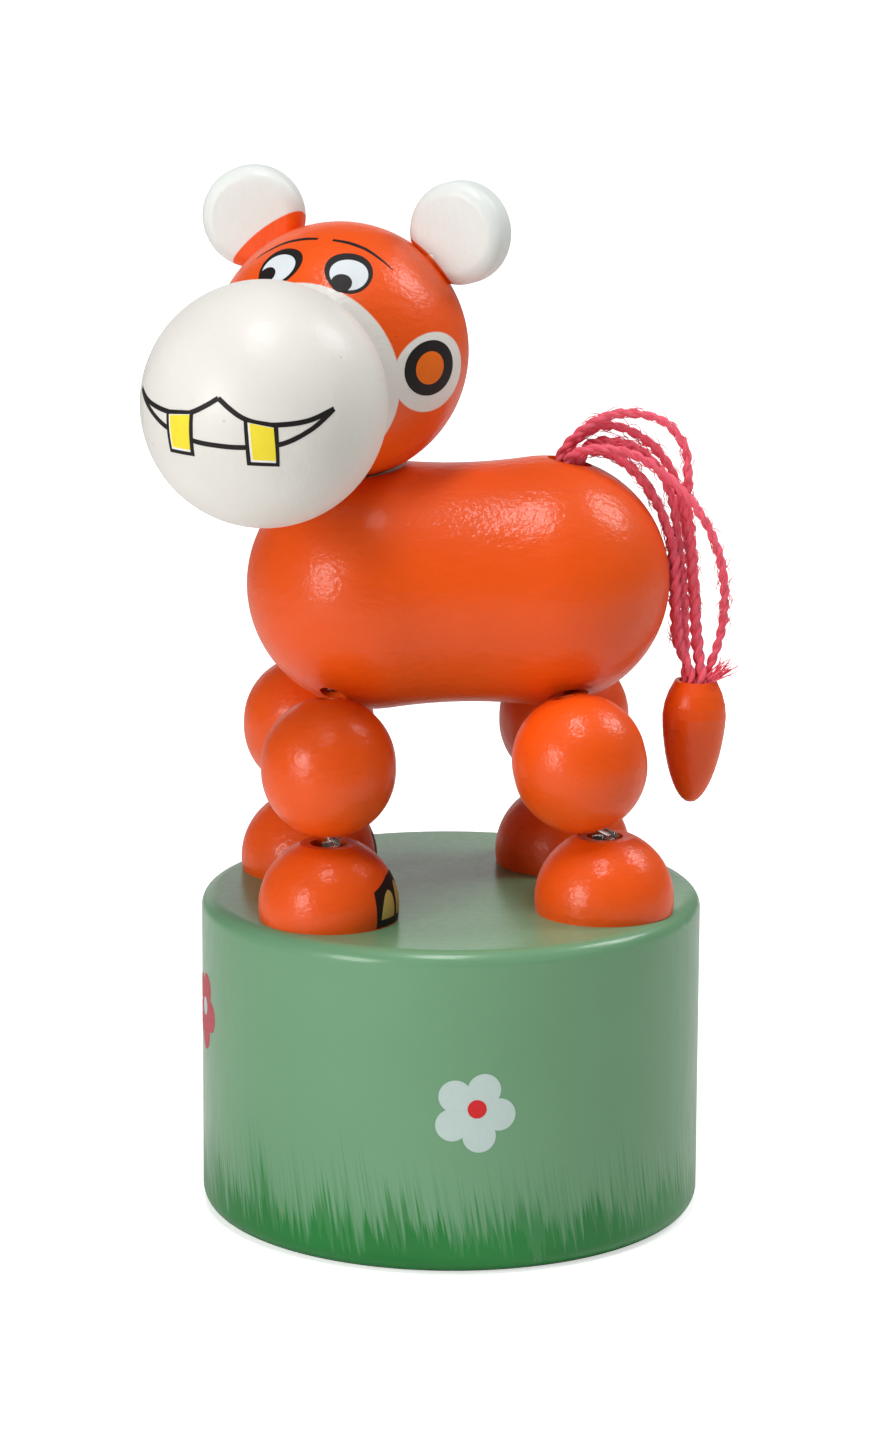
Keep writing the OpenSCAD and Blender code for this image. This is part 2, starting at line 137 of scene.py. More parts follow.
def smoothRoute(points, perSpan):  # a smooth line through points, perSpan steps between two of them
    pts = [Vector(p) for p in points]
    pts = [pts[0] * 2 - pts[1]] + pts + [pts[-1] * 2 - pts[-2]]
    line = []
    for a, b, c, d in zip(pts, pts[1:], pts[2:], pts[3:]):
        for k in range(perSpan):
            t = k / perSpan
            line.append(0.5 * (2 * b + (c - a) * t + (2 * a - 5 * b + 4 * c - d) * t * t
                               + (3 * b - a - 3 * c + d) * t ** 3))
    return line + [pts[-2]]


def routeFrames(line):  # a side and a second side at each point, carried along without twist
    last = len(line) - 1
    runs = [(line[min(i + 1, last)] - line[max(i - 1, 0)]).normalized() for i in range(len(line))]
    side = runs[0].orthogonal().normalized()
    frames = []
    for run in runs:
        side = (side - run * side.dot(run)).normalized()
        frames.append((side, run.cross(side)))
    return frames


def addTube(verts, faces, line, frames, radii, sides):  # a closed round tube added to the lists
    first = len(verts)
    for point, (a, b), r in zip(line, frames, radii):
        for k in range(sides):
            turn = 2 * pi * k / sides
            verts.append(point + (a * cos(turn) + b * sin(turn)) * r)
    for i in range(len(line) - 1):
        for k in range(sides):
            low, high = first + i * sides + k, first + i * sides + (k + 1) % sides
            faces.append((low, high, high + sides, low + sides))
    faces.append(tuple(first + k for k in reversed(range(sides))))
    faces.append(tuple(first + (len(line) - 1) * sides + k for k in range(sides)))


def tubePiece(name, lines, thickMm, sides, material):  # tubes of one thickness, in one mesh
    verts, faces = [], []
    for line in lines:
        addTube(verts, faces, line, routeFrames(line), [thickMm / 2 * mm] * len(line), sides)
    return newMesh(name, verts, faces, material)


# Materials

lacquerSet = {  # what every lacquered piece shares
    "shader": {"IOR": 1.5, "Specular IOR Level": 0.2, "Coat IOR": 1.5}, "grainSpan": (0.3, 0.7),
    "speckEdge": (0.025, 0.04),      # shares of the speck spacing between which a speck ends
}


def grainUnder(add, place, look):  # the wear and the swell that the wood's grain gives its paint
    stretch = add("Mapping", {"Scale": look["grainStretch"]}, {"Vector": place})
    grain = add("TexNoise", {"Scale": perSize(look["grainMm"]), **look["grainNoise"]}, {"Vector": stretch})
    (low, high), (smooth, rough) = lacquerSet["grainSpan"], look["roughness"]
    wear = add("MapRange", {1: low, 2: high, 3: smooth, 4: rough}, {0: grain})
    swell = add("Bump", {"Strength": look["bump"], "Distance": look["grainDeepMm"] * mm}, {"Height": grain})
    return wear, swell


def lacquer(name, look, mask=None):
    # Sprayed lacquer on turned beech: an even colour with a slow drift, a sheen that the coat's fine dimples
    # break up, a faint swell of the grain under it, and a few dust specks. A mask brings in a second paint.
    material, tree, shader = newMaterial(name, {
        **lacquerSet["shader"], "Coat Weight": look["coat"], "Coat Roughness": look["coatRoughness"]})
    add = partial(addNode, tree)
    place = add("TexCoord", take="Object")
    drift = add("TexNoise", {"Scale": perSize(look["driftMm"]), "Detail": 3}, {"Vector": place})
    colour = add("Mix", {"data_type": "RGBA", 6: linear(look["colour"]), 7: linear(look["drift"])},
                 {0: drift}, take=2)
    if mask:
        factor, second, secondDrift = mask(add, place)
        other = add("Mix", {"data_type": "RGBA", 6: linear(second), 7: linear(secondDrift)},
                    {0: drift}, take=2)
        colour = add("Mix", {"data_type": "RGBA"}, {0: factor, 6: colour, 7: other}, take=2)
    cells = add("TexVoronoi", {"Scale": perSize(look["speckMm"]), "Randomness": 1}, {"Vector": place})
    inner, outer = lacquerSet["speckEdge"]
    speck = add("MapRange", {1: inner, 2: outer, 3: look["speckAmount"], 4: 0}, {0: cells})
    colour = add("Mix", {"data_type": "RGBA", 7: linear(look["speckColour"])}, {0: speck, 6: colour}, take=2)
    wear, swell = grainUnder(add, place, look)
    dimples = add("TexNoise", {"Scale": perSize(look["peelMm"]), "Detail": 1}, {"Vector": place})
    peel = add("Bump", {"Strength": look["bump"], "Distance": look["peelDeepMm"] * mm},
               {"Height": dimples, "Normal": swell})
    plug(tree, shader, {"Base Color": colour, "Roughness": wear, "Normal": swell, "Coat Normal": peel})
    return material


orangeLook = {
    "colour": "#EE5605", "drift": "#E74E02", "driftMm": 9, "coat": 0.4, "coatRoughness": 0.19,
    "roughness": (0.45, 0.56), "bump": 0.5, "grainNoise": {"Detail": 5, "Roughness": 0.6},
    "grainMm": 1.1, "grainStretch": (0.5, 1, 1), "grainDeepMm": 0.2, "peelMm": 0.5, "peelDeepMm": 0.12,
    "speckMm": 3.6, "speckAmount": 0.5, "speckColour": "#B23A0E",
}
whiteLook = {
    **orangeLook, "colour": "#E5E2DC", "drift": "#DEDAD3", "driftMm": 8, "coat": 0.3, "coatRoughness": 0.27,
    "grainStretch": (1, 1, 0.5), "grainDeepMm": 0.14, "peelMm": 0.6, "peelDeepMm": 0.08,
    "speckMm": 4.4, "speckAmount": 0.35, "speckColour": "#A9A49A",
}
# The ears' white is a shade cooler than the muzzle's, so the orange that the head throws on them stays faint.
earLook = {**whiteLook, "colour": "#E3E7E3", "drift": "#DCE0DC"}
facePlan = {  # the head's places, as in the solids, mm and degrees
    "headAt": (-11.2, 0, 86.95), "headR": 12.6, "yaw": 64, "roll": 1.8,
    "muzzleReach": 20.5, "muzzleDrop": 2.2, "muzzleR": 11.7,
    "bandUp": -8.5, "bandReach": 47.3,                    # white paint round the muzzle, on the head
    "patchSide": 66.5, "patchUp": -2.3, "patchHalf": (22.5, 18),
    "bandSoft": 0.004, "patchSoft": 0.03,                 # half the blur of these edges, as shares
    "earPaint": {"ear_left": 12.95, "ear_right": 14.5},   # where the orange ends, from the head's middle
    "earSoft": 0.06,
}
turn, lean = radians(facePlan["yaw"]), radians(facePlan["roll"])
faceForward = Vector((-cos(turn), -sin(turn), 0))
faceLeft = Vector((sin(turn) * cos(lean), -cos(turn) * cos(lean), -sin(lean)))
faceUp = Vector((sin(turn) * sin(lean), -cos(turn) * sin(lean), cos(lean)))
headAt = Vector(facePlan["headAt"]) * mm


def headPaint(add, place):  # white round the muzzle and in a patch at each cheek, the rest orange
    out = add("VectorMath", {"operation": "SUBTRACT", 1: headAt}, {0: place})
    out = add("VectorMath", {"operation": "NORMALIZE"}, {0: out})
    tilt = radians(facePlan["bandUp"])
    ways = (faceForward * cos(tilt) + faceUp * sin(tilt), faceForward, faceLeft, faceUp)
    near, ahead, aside, above = (add("VectorMath", {"operation": "DOT_PRODUCT", 1: way},
                                     {0: out}, take="Value") for way in ways)
    edge, soft = cos(radians(facePlan["bandReach"])), facePlan["bandSoft"]
    band = add("MapRange", {1: edge - soft, 2: edge + soft}, {0: near})
    aside = add("Math", {"operation": "ABSOLUTE"}, {0: aside})
    side = add("Math", {"operation": "ARCTAN2"}, {0: aside, 1: ahead})
    up = add("Math", {"operation": "ARCSINE"}, {0: above})
    squares = []
    for angle, centre, half in ((side, facePlan["patchSide"], facePlan["patchHalf"][0]),
                                (up, facePlan["patchUp"], facePlan["patchHalf"][1])):
        off = add("Math", {"operation": "SUBTRACT", 1: radians(centre)}, {0: angle})
        off = add("Math", {"operation": "DIVIDE", 1: radians(half)}, {0: off})
        squares.append(add("Math", {"operation": "MULTIPLY"}, {0: off, 1: off}))
    reach = add("Math", {"operation": "ADD"}, {0: squares[0], 1: squares[1]})
    soft = facePlan["patchSoft"]
    patch = add("MapRange", {1: 1 - soft, 2: 1 + soft, 3: 1, 4: 0}, {0: reach})
    both = add("Math", {"operation": "MAXIMUM"}, {0: band, 1: patch})
    return both, whiteLook["colour"], whiteLook["drift"]


def earPaint(add, place, edge):  # the head's orange runs a little way up each ear
    out = add("VectorMath", {"operation": "SUBTRACT", 1: headAt}, {0: place})
    far = add("VectorMath", {"operation": "LENGTH"}, {0: out}, take="Value")
    soft = facePlan["earSoft"] * mm
    low = add("MapRange", {1: edge - soft, 2: edge + soft, 3: 1, 4: 0}, {0: far})
    return low, orangeLook["colour"], orangeLook["drift"]


orangeLacquer = lacquer("orange lacquer on beech", orangeLook)
headLacquer = lacquer("orange and white lacquer on beech", orangeLook, headPaint)
whiteLacquer = lacquer("white lacquer on beech", whiteLook)
earLacquer = {name: lacquer("white lacquer with orange foot, " + name, earLook,
                            partial(earPaint, edge=edge * mm))
              for name, edge in facePlan["earPaint"].items()}

drumLook = {
    "green": "#6F9D77", "drift": "#67956F", "driftMm": 14, "grass": "#00802C", "grassDeep": "#006722",
    "coat": 0.35, "coatRoughness": 0.18, "roughness": (0.3, 0.4), "bump": 0.2,
    "grainMm": 0.8, "grainNoise": {"Detail": 4}, "grainStretch": (1, 1, 0.2), "grainDeepMm": 0.05,
    "bareWood": "#CDA873", "radius": 25, "boreR": 20.2, "ceiling": 25.6,  # mm
    "leanPerMm": 0.16, "clumpSeed": 3.1, "clumpSpan": (0.3, 0.7), "bladeSeed": 7.7, "bladeSpan": (0.32, 0.78),
    "rows": [  # rows of blades: widths of blade and clump, lowest top, rises and length of the fade in mm
        {"blade": 0.45, "clump": 6, "low": 2.1, "clumpRise": 2.2, "bladeRise": 4.6, "fade": 1.9,
         "strength": 0.93},
        {"blade": 0.38, "clump": 4, "low": 3.2, "clumpRise": 2.8, "bladeRise": 6.2, "fade": 3.6,
         "strength": 0.75},
        {"blade": 0.3, "clump": 12, "low": 5, "clumpRise": 4, "bladeRise": 8, "fade": 7, "strength": 0.3},
    ],
}


def drumMaterial():
    # Green lacquer with sprayed grass round the drum's foot, in soft blades that fade upwards. The bore is
    # bare beech.
    material, tree, shader = newMaterial("green lacquer with sprayed grass", {
        **lacquerSet["shader"], "Coat Weight": drumLook["coat"], "Coat Roughness": drumLook["coatRoughness"]})
    add = partial(addNode, tree)
    place = add("TexCoord", take="Object")
    x, y, z = add("SeparateXYZ", links={0: place}).node.outputs
    angle = add("Math", {"operation": "ARCTAN2"}, {0: y, 1: x})
    arc = add("Math", {"operation": "MULTIPLY", 1: drumLook["radius"]}, {0: angle})
    high = add("Math", {"operation": "DIVIDE", 1: mm}, {0: z})   # in mm
    slant = add("Math", {"operation": "MULTIPLY", 1: drumLook["leanPerMm"]}, {0: high})
    blown = add("Math", {"operation": "ADD"}, {0: arc, 1: slant})
    along = add("CombineXYZ", links={0: blown})

    def rise(sizeMm, seed, span, amount):  # a height in mm that changes along the drum's edge
        at = add("VectorMath", {"operation": "ADD", 1: (0, seed * sizeMm, 0)}, {0: along})
        noise = add("TexNoise", {"noise_dimensions": "2D", "Scale": 1 / sizeMm, "Detail": 2}, {"Vector": at})
        return add("MapRange", {1: span[0], 2: span[1], 3: 0, 4: amount}, {0: noise})

    cover = None
    for i, row in enumerate(drumLook["rows"]):
        clump = rise(row["clump"], drumLook["clumpSeed"] + i, drumLook["clumpSpan"], row["clumpRise"])
        blade = rise(row["blade"], drumLook["bladeSeed"] + i, drumLook["bladeSpan"], row["bladeRise"])
        top = add("Math", {"operation": "ADD"}, {0: clump, 1: blade})
        top = add("Math", {"operation": "ADD", 1: row["low"]}, {0: top})
        under = add("Math", {"operation": "SUBTRACT"}, {0: top, 1: high})
        fade = add("MapRange", {1: 0, 2: row["fade"], 3: 0, 4: row["strength"],
                                "interpolation_type": "SMOOTHSTEP"}, {0: under})
        if cover:
            fade = add("Math", {"operation": "MAXIMUM"}, {0: cover, 1: fade})
        cover = fade
    drift = add("TexNoise", {"Scale": perSize(drumLook["driftMm"]), "Detail": 2}, {"Vector": place})
    green, grass = (add("Mix", {"data_type": "RGBA", 6: linear(drumLook[a]), 7: linear(drumLook[b])},
                        {0: drift}, take=2) for a, b in (("green", "drift"), ("grassDeep", "grass")))
    painted = add("Mix", {"data_type": "RGBA"}, {0: cover, 6: green, 7: grass}, take=2)
    flat = add("CombineXYZ", links={0: x, 1: y})
    out = add("VectorMath", {"operation": "LENGTH"}, {0: flat}, take="Value")
    inBore, belowTop = (add("Math", {"operation": "LESS_THAN", 1: drumLook[limit] * mm},
                            {0: size}) for limit, size in (("boreR", out), ("ceiling", z)))
    inside = add("Math", {"operation": "MULTIPLY"}, {0: inBore, 1: belowTop})
    colour = add("Mix", {"data_type": "RGBA", 7: linear(drumLook["bareWood"])},
                 {0: inside, 6: painted}, take=2)
    wear, swell = grainUnder(add, place, drumLook)
    plug(tree, shader, {"Base Color": colour, "Roughness": wear, "Normal": swell})
    return material


drumLacquer = drumMaterial()


def grained(name, shaderSettings, look):  # one noise for the drift of colour, the wear and any swell
    material, tree, shader = newMaterial(name, shaderSettings)
    add = partial(addNode, tree)
    stretch = add("Mapping", {"Scale": look.get("stretch", (1, 1, 1))},
                  {"Vector": add("TexCoord", take="Object")})
    grain = add("TexNoise", {"Scale": perSize(look["grainMm"]), "Detail": look["detail"]},
                {"Vector": stretch})
    first, second = (linear(colour) for colour in look["colours"])
    colour = add("Mix", {"data_type": "RGBA", 6: first, 7: second}, {0: grain}, take=2)
    smooth, rough = look["roughness"]
    wear = add("MapRange", {3: smooth, 4: rough}, {0: grain})
    plug(tree, shader, {"Base Color": colour, "Roughness": wear})
    if "deepMm" in look:
        swell = add("Bump", {"Strength": look["bump"], "Distance": look["deepMm"] * mm}, {"Height": grain})
        plug(tree, shader, {"Normal": swell})
    return material


# Sanded beech: straight pale grain with short dark flecks, dull.
beech = grained("sanded beech", {"IOR": 1.5}, {
    "colours": ("#DDBD8B", "#B98F5C"), "grainMm": 0.7, "detail": 6, "stretch": (0.12, 1, 1),
    "roughness": (0.55, 0.75), "bump": 0.4, "deepMm": 0.05})
# Drawn spring steel: grey, with fine draw marks that break the shine.
steel = grained("drawn spring steel", {"Metallic": 1}, {
    "colours": ("#9EA3A6", "#C4C7C9"), "grainMm": 0.3, "detail": 3, "roughness": (0.25, 0.45)})
# Clear nylon line: see-through with a wet shine, so it takes the dark of its hole and shows as bright glints.
nylon = grained("clear nylon line", {"IOR": 1.53, "Transmission Weight": 0.92}, {
    "colours": ("#F2EFEA", "#D9D4CB"), "grainMm": 0.6, "detail": 2, "roughness": (0.06, 0.2)})


def printInk(name, *colours):
    # Screen ink over lacquer: flat and opaque, a touch duller than the paint round it.
    return grained(name, {"IOR": 1.45, "Specular IOR Level": 0.3}, {
        "colours": colours, "grainMm": 0.5, "detail": 3, "roughness": (0.5, 0.62)})


blackInk = printInk("black screen ink", "#150F10", "#1D1617")
eyeWhite = printInk("eye white ink", "#DCE2E6", "#D2D9DE")
toothYellow = printInk("tooth yellow ink", "#F5E13C", "#EED82F")
toothWhite = printInk("tooth white ink", "#EFEDE6", "#E8E6DF")
cheekOrange = printInk("cheek orange ink", "#EC6E08", "#E26404")
petalWhite = printInk("petal white ink", "#C0D0CC", "#B7C8C4")
petalRose = printInk("petal rose ink", "#C0525A", "#B64750")
dotRed = printInk("flower dot red ink", "#D42A2B", "#CB2224")
nailCream = printInk("toenail cream ink", "#CBB368", "#C0A75A")

paints = {"drum_base": drumLacquer, "head_ball": headLacquer, "muzzle_ball": whiteLacquer,
          "push_button": beech, "neck_peg": beech, "muzzle_dowel": beech}
for side in ("left", "right"):  # an ear and its dowel were dipped as one
    paints["ear_" + side] = paints["ear_dowel_" + side] = earLacquer["ear_" + side]
for name, node in nodes.items():
    node.data.materials.clear()
    node.data.materials.append(nylon if "cord" in name else paints.get(name, orangeLacquer))
print("paint on the solids")

# Tail: six strands of two-ply yarn out of the hole, over the rump and into the bead

tailPlan = {
    "strandMm": 0.9, "plyMm": 0.64, "offCentreMm": 0.19, "pitchMm": 2.9, "perSpan": 10, "sides": 10,
    "lumps": 24, "lumpRange": (0.9, 1.08),  # thicker and thinner places along a ply
    "bendStart": (20, 0, 78), "bendEnd": (24, 0, 62),
    "routes": [  # mm, the same points as the solids'
        [(10.3, 0, 71.5), (10.5, 0, 75.8), (12.2, 0, 78.2), (15, 0, 80), (18, -0.1, 80.3),
         (21, -0.2, 79.4), (23, -0.3, 77), (23.4, -0.4, 74), (23.4, -0.6, 71), (23.8, -0.6, 67.5),
         (24.2, -0.6, 63.5), (24.5, -0.6, 59.5), (24.8, -0.8, 56), (25.1, -0.95, 53), (25.1, -0.95, 50)],
        [(10.9, 1.1, 71.5), (11.2, 1.15, 75.6), (13, 1.1, 78), (15.5, 0.9, 79), (18, 0.8, 78.3),
         (20.2, 0.7, 76.7), (22, 0.6, 74.2), (22.9, 0.6, 71), (23.6, 0.6, 67.5), (24, 0.6, 64),
         (24.3, 0.6, 60.5), (24.6, 0.7, 57), (25.1, 0.95, 53.4), (25.1, 0.95, 50)],
        [(12.2, 1.1, 71.5), (12.4, 1.1, 75.4), (14, 1.25, 77.2), (16.3, 0.5, 77.4), (18.6, 0.1, 76.6),
         (20.5, 0, 74.7), (21.8, 0, 72.1), (22.4, 0, 68.8), (22.9, 0, 65.5), (23.2, 0, 62),
         (23.4, 0, 58.5), (23.5, 0, 55.5), (23.5, 0, 53), (23.5, 0, 50)],
        [(10.9, -1.1, 71.5), (11.2, -1.3, 75.9), (13.2, -2, 77.1), (16.4, -2, 76.9), (19.3, -1.9, 75.6),
         (22, -1.8, 73.4), (24.2, -1.8, 70.8), (25.8, -1.5, 68), (26.8, -1.2, 65), (27.2, -0.8, 62),
         (27.1, -0.5, 59), (26.5, -0.2, 56.2), (25.6, 0, 53.4), (25.6, 0, 50)],
        [(12.3, -1.1, 71.5), (12.5, -0.9, 75.9), (14.2, -0.8, 77), (16.2, -0.6, 76), (18.3, -0.7, 74.2),
         (20, -0.7, 71.9), (21.3, -0.8, 69.1), (22.1, -0.8, 66), (22.3, -0.8, 63), (22.5, -0.8, 60),
         (22.8, -0.95, 57), (23.6, -1.05, 55), (24, -0.95, 53.4), (24, -0.95, 50)],
        [(12.9, 0.1, 71.5), (12.8, 0.05, 75.8), (14.4, 0.25, 76.5), (16.7, 0.7, 75.7), (18.7, 0.9, 73.9),
         (20.4, 0.9, 71.4), (21.7, 0.9, 68.2), (22.2, 0.9, 65), (22.3, 0.8, 62), (22.5, 0.8, 59),
         (22.8, 0.95, 56.8), (23.6, 1.05, 55), (24, 0.95, 53.4), (24, 0.95, 50)],
    ],
    "lengths": [47.6, 43.2, 39.6, 42.4, 37.2, 36.6],  # mm, from end to end
}
bendStart, bendEnd = ([c * mm for c in tailPlan[key]] for key in ("bendStart", "bendEnd"))
yarnLook = {
    # the second colour is the fibres' painted highlight, mixed in by the fibre noise
    "colours": ("#FB3B5A", "#FF8799"), "sheenTint": "#F7B6C0", "sheen": 0.5,
    "fibreStretch": (0.5, 5, 1), "fibreSlant": 0.25, "fibreScale": 2.2,  # radians; fibres to a millimetre
    "fibreHighlightSpan": (0.3, 0.7), "roughness": (0.7, 0.95), "bump": 0.7, "deepMm": 0.08,
    "apartMm": 3.7,  # between the charts of two plies
}


def twistedYarn():
    # Soft acrylic yarn: matt pink plies with fine fibres along them. The paler pink along the fibres is a
    # painted highlight, where they would catch the light.
    material, tree, shader = newMaterial("twisted acrylic yarn", {
        "IOR": 1.5, "Specular IOR Level": 0.3, "Sheen Weight": yarnLook["sheen"], "Sheen Roughness": 0.5,
        "Sheen Tint": linear(yarnLook["sheenTint"])})
    add = partial(addNode, tree)
    along = add("UVMap")  # u runs along a ply, v round it, both in mm
    stretch = add("Mapping", {"Scale": yarnLook["fibreStretch"], "Rotation": (0, 0, yarnLook["fibreSlant"])},
                  {"Vector": along})
    fibres = add("TexNoise", {"Scale": yarnLook["fibreScale"], "Detail": 5, "Roughness": 0.65},
                 {"Vector": stretch})
    low, high = yarnLook["fibreHighlightSpan"]
    # where the paler pink is painted on the fibres as their highlight
    fibreHighlight = add("MapRange", {1: low, 2: high}, {0: fibres})
    first, second = (linear(colour) for colour in yarnLook["colours"])
    colour = add("Mix", {"data_type": "RGBA", 6: first, 7: second}, {0: fibreHighlight}, take=2)
    smooth, rough = yarnLook["roughness"]
    wear = add("MapRange", {3: smooth, 4: rough}, {0: fibres})
    swell = add("Bump", {"Strength": yarnLook["bump"], "Distance": yarnLook["deepMm"] * mm},
                {"Height": fibres})
    plug(tree, shader, {"Base Color": colour, "Roughness": wear, "Normal": swell})
    return material


yarn = twistedYarn()


def layYarnUv(piece, rings, sides, stepMm, roundMm):  # u along the ply and v round it, in mm
    layer = piece.data.uv_layers.new(name="UVMap")
    for loop in piece.data.loops:
        ring, k = divmod(loop.vertex_index, sides)
        apart = (ring // rings) * yarnLook["apartMm"]
        layer.data[loop.index].uv = ((ring % rings) * stepMm, k / sides * roundMm + apart)


def tailStrand(number, route, lengthMm):
    dice = random.Random(number)
    line = [p * mm for p in smoothRoute(route, tailPlan["perSpan"])]
    frames = routeFrames(line)
    gone, run = [0], 0
    for a, b in zip(line, line[1:]):
        run += (b - a).length
        gone.append(run)
    verts, faces = [], []
    phase = dice.uniform(0, 2 * pi)
    for ply in (0, 1):
        core, radii = [], []
        lumps = [dice.uniform(*tailPlan["lumpRange"]) for _ in range(tailPlan["lumps"])]
        for point, (a, b), s in zip(line, frames, gone):
            twist = phase + ply * pi + 2 * pi * s / (tailPlan["pitchMm"] * mm)
            core.append(point + (a * cos(twist) + b * sin(twist)) * tailPlan["offCentreMm"] * mm)
            radii.append(tailPlan["plyMm"] / 2 * mm * lumps[int(s / run * (tailPlan["lumps"] - 1))])
        addTube(verts, faces, core, frames, radii, tailPlan["sides"])
    piece = newMesh("tailStrand%d" % number, verts, faces, yarn)
    layYarnUv(piece, len(line), tailPlan["sides"], run / len(line) / mm, pi * tailPlan["plyMm"])
    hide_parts("tail_strand_%d" % number)
    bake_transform(piece)
    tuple(bendStart)
    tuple(bendEnd)
    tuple(line[0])


for i, (route, lengthMm) in enumerate(zip(tailPlan["routes"], tailPlan["lengths"])):
    tailStrand(i + 1, route, lengthMm)

tuftPlan = {  # mm, and shares of a fibre's length
    "seed": 8, "at": (26.2, -0.9, 53.3), "rootBack": (1.0, -0.5, 0.5), "fibres": 26,
    "long": 3.2, "shortest": 0.6,
    "ways": ((0.25, 1), (-0.5, 0.2), (0.4, 1)), "bows": ((-1, 1), (-1, 1), (-0.5, 0.5)), "bow": 0.2,
    "radii": (0.09, 0.1, 0.09, 0.075, 0.05, 0.02), "sides": 5, "round": 0.5,
}
strayPlan = {  # mm, and steps of a strand's route
    "seed": 21, "perStrand": 130, "long": 1.7, "shortest": 0.5, "bareSteps": (18, 30), "off": 0.35,
    "lift": (0.15, 0.55), "liftArc": 0.7, "curl": (-0.3, 0.3),
    "radii": (0.05, 0.05, 0.045, 0.035, 0.015), "sides": 3, "round": 0.2,
}


def drawWay(dice, ranges):  # a vector drawn within a range for each axis
    return Vector([dice.uniform(*span) for span in ranges])


def tailTuft():  # a frayed end of yarn that stands out beside the bead's hole
    dice = random.Random(tuftPlan["seed"])
    verts, faces = [], []
    foot = Vector(tuftPlan["at"]) * mm
    root = foot - Vector(tuftPlan["rootBack"]) * mm
    rings = len(tuftPlan["radii"])
    radii = [r * mm for r in tuftPlan["radii"]]
    for _ in range(tuftPlan["fibres"]):
        way = drawWay(dice, tuftPlan["ways"]).normalized()
        reach = dice.uniform(tuftPlan["shortest"], 1) * tuftPlan["long"] * mm
        bow = drawWay(dice, tuftPlan["bows"]) * reach * tuftPlan["bow"]
        line = [root + (foot - root + way * reach) * t + bow * sin(pi * t)
                for t in (k / (rings - 1) for k in range(rings))]
        addTube(verts, faces, line, routeFrames(line), radii, tuftPlan["sides"])
    piece = newMesh("tailTuft", verts, faces, yarn)
    layYarnUv(piece, rings, tuftPlan["sides"], reach / rings / mm, tuftPlan["round"])
    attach(piece, "tail")


def tailStrays():  # fine loose fibres that lift off the strands and soften their edges
    dice = random.Random(strayPlan["seed"])
    verts, faces = [], []
    first, last = strayPlan["bareSteps"]
    rings = len(strayPlan["radii"])
    radii = [r * mm for r in strayPlan["radii"]]
    for route in tailPlan["routes"]:
        line = [p * mm for p in smoothRoute(route, tailPlan["perSpan"])]
        frames = routeFrames(line)
        for _ in range(strayPlan["perStrand"]):
            i = dice.randrange(first, len(line) - last)
            a, b = frames[i]
            turn = dice.uniform(0, 2 * pi)
            out = a * cos(turn) + b * sin(turn)
            run = (line[i + 1] - line[i]).normalized() * dice.choice((-1, 1))
            reach = dice.uniform(strayPlan["shortest"], 1) * strayPlan["long"] * mm
            lift = dice.uniform(*strayPlan["lift"]) * mm
            curl = out.cross(run) * dice.uniform(*strayPlan["curl"]) * mm
            fibre = []
            for t in (k / (rings - 1) for k in range(rings)):
                high = strayPlan["off"] * mm + lift * sin(pi * t * strayPlan["liftArc"])
                fibre.append(line[i] + out * high + run * reach * t + curl * t * t)
            addTube(verts, faces, fibre, routeFrames(fibre), radii, strayPlan["sides"])
    piece = newMesh("tailStrays", verts, faces, yarn)
    layYarnUv(piece, rings, strayPlan["sides"], strayPlan["long"] / rings, strayPlan["round"])
    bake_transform(piece)
    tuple(bendStart)
    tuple(bendEnd)


tailTuft()
tailStrays()
print("tail yarn laid:", len(tailPlan["routes"]), "strands")

# Return spring, and the clear line that strings the animal

springPlan = {  # mm, counts, and the share that is kept when pressed
    "d": 22, "wire": 1.1, "coils": 5, "low": 10.05, "high": 24.85, "ceiling": 25.4,
    "keep": 0.43, "perCoil": 28, "sides": 10,
}


def returnSpring():
    steps, radius = springPlan["coils"] * springPlan["perCoil"], springPlan["d"] / 2
    line = []
    for i in range(steps + 1):
        angle = 2 * pi * i / springPlan["perCoil"]
        lift = springPlan["low"] + (springPlan["high"] - springPlan["low"]) * i / steps
        line.append(Vector((cos(angle) * radius, sin(angle) * radius, lift)) * mm)
    piece = tubePiece("returnSpring", [line], springPlan["wire"], springPlan["sides"], steel)
    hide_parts("return_spring")
    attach(piece, "base")
    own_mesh(piece)


returnSpring()

linePlan = {  # mm
    "d": 1.2, "low": 7.5, "top": 39.9, "keep": 0.722, "steps": 24, "sides": 14,
    "span": (26.7, 19.9),  # between the cord holes in the drum
    "slip": {"rear_left": 0.65, "rear_right": -0.6},  # feet that stand off their holes, along x
    "loop": [(0, 0, -1.4), (0.1, -0.5, -0.4), (0.5, -1.15, 0.1), (0.75, -1.6, 0.35), (0.4, -1.7, 0.6),
             (0.15, -1.2, 0.6)],  # from the foot's top
    "loopD": 0.7, "perSpan": 6, "loopSides": 12,
    "beadHole": {"front_left": (0, -0.93), "rear_left": (-1.1, -0.93), "front_right": (0, 0.93),
                 "rear_right": (0, 0.93)},  # from the foot's middle
    "beadRise": (1.2, 2.4), "bend": (0.2, 1.2),  # above the foot's top
}


def legSide(leg):
    return -1 if leg.endswith("left") else 1


def holeAt(leg):  # a leg's cord hole in the drum, x and y
    end = -1 if leg.startswith("front") else 1
    return end * linePlan["span"][0] / 2, legSide(leg) * linePlan["span"][1] / 2


def footAt(leg):  # the middle of a foot, x and y
    x, y = holeAt(leg)
    return x + linePlan["slip"].get(leg, 0), y


def baseLines():
    steps, low, top = linePlan["steps"], linePlan["low"], linePlan["top"]
    lines = [[Vector((*holeAt(leg), low + (top - low) * k / steps)) * mm for k in range(steps + 1)]
             for leg in legs]
    piece = tubePiece("baseLines", lines, linePlan["d"], linePlan["sides"], nylon)
    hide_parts("base_cords")
    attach(piece, "base")
    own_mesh(piece)


